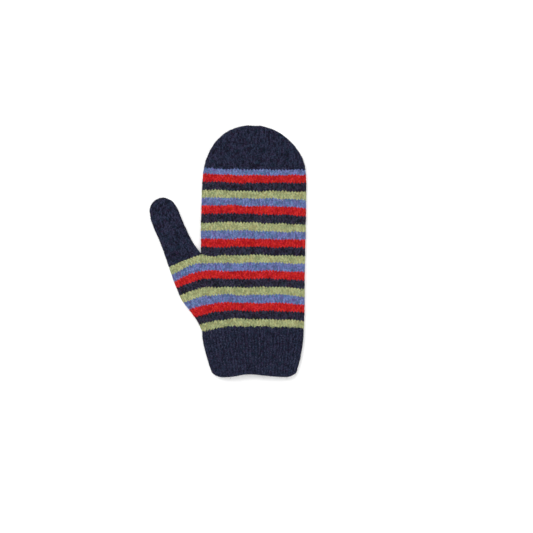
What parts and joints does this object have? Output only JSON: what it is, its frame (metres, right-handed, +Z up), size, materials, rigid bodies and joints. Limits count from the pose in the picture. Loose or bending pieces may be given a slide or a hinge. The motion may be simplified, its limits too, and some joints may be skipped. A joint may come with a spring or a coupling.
{
  "type": "knitted mitten",
  "caption": "Striped wool mitten lying flat, with a ribbed cuff, a thumb on a widened gusset, and soft folds across the knuckles, the wrist and at the thumb.",
  "frame": {"origin": "middle of the outline seen from above, on the surface that the mitten lies on", "axes": "+Y from the cuff towards the fingertips, -X towards the thumb's side, +Z up through the mitten's thickness"},
  "size_m": [0.156, 0.2531, 0.018],
  "materials": {
    "navy_yarn": "matte",
    "green_yarn": "matte",
    "red_yarn": "matte",
    "blue_yarn": "matte"
  },
  "bodies": {
    "palm": {"green_stripe_1": "green_yarn", "navy_stripe_1": "navy_yarn", "red_stripe_1": "red_yarn", "blue_stripe_1": "blue_yarn", "green_stripe_2": "green_yarn", "navy_stripe_2": "navy_yarn", "red_stripe_2": "red_yarn", "blue_stripe_2": "blue_yarn", "green_stripe_3": "green_yarn", "navy_stripe_3": "navy_yarn", "red_stripe_3": "red_yarn", "blue_stripe_3": "blue_yarn", "green_stripe_4": "green_yarn"},
    "fingers": {"navy_stripe_4": "navy_yarn", "red_stripe_4": "red_yarn", "blue_stripe_4": "blue_yarn", "green_stripe_5": "green_yarn", "navy_stripe_5": "navy_yarn", "red_stripe_5": "red_yarn", "blue_stripe_5": "blue_yarn", "crown_cap": "navy_yarn", "crown_seam": "navy_yarn"},
    "thumb": {"thumb_tube": "navy_yarn", "thumb_seam": "navy_yarn"},
    "cuff": {"cuff_rib": "navy_yarn"}
  },
  "joints": [
    {"name": "finger_fold", "type": "hinge", "parent": "palm", "child": "fingers", "pos_m": [0.026, 0.02846, 0.018], "axis": [1, 0, 0], "range_deg": [0, 75]},
    {"name": "cuff_fold", "type": "hinge", "parent": "palm", "child": "cuff", "pos_m": [0.026, -0.07515, 0.018], "axis": [-1, 0, 0], "range_deg": [0, 50]},
    {"name": "thumb_swing", "type": "hinge", "parent": "palm", "child": "thumb", "pos_m": [-0.0273, -0.0018, 0.009], "axis": [0, 0, -1], "range_deg": [0, 16]}
  ]
}
